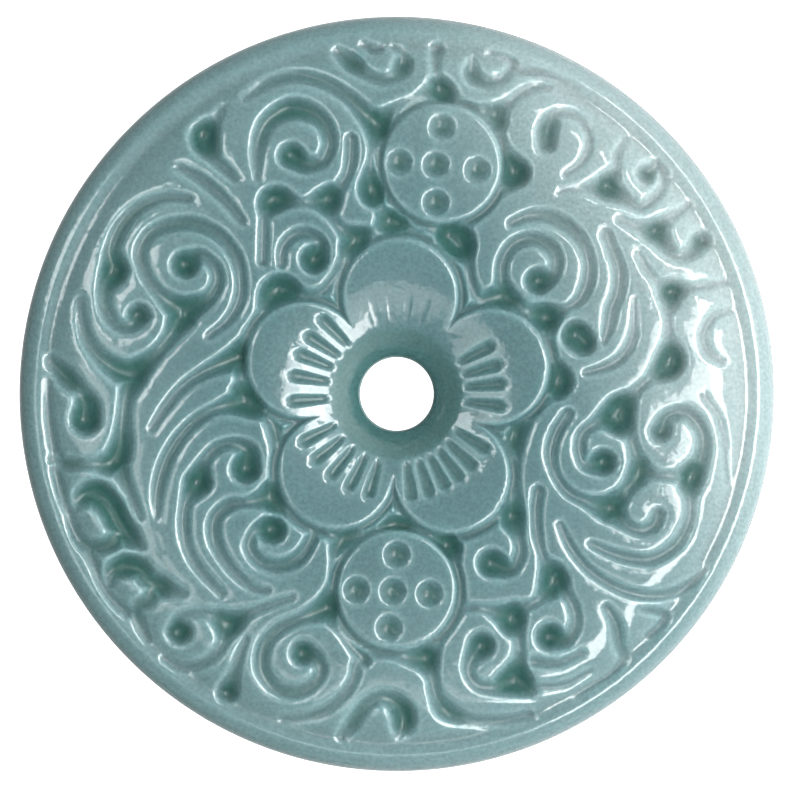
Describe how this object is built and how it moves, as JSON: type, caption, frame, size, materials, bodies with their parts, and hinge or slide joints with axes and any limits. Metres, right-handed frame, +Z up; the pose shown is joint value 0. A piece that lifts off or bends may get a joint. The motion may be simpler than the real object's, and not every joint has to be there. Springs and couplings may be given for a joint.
{
  "type": "carved jade disc",
  "caption": "Round domed jade disc with a central cord hole, its face carved with a flower, coins and scrolling vines; worn as a pendant or kept as a palm piece.",
  "frame": {"origin": "middle of the cord hole on the plane of the plain back, which lies on the ground", "axes": "+Z up out of the carved face along the cord hole; +Y towards the coin at the top of the picture; +X to the right of the picture"},
  "size_m": [0.06, 0.06, 0.0064],
  "materials": {
    "jade": "polished, slightly translucent blue-green jade"
  },
  "bodies": {
    "root": {"jade_disc": "jade"}
  },
  "joints": []
}
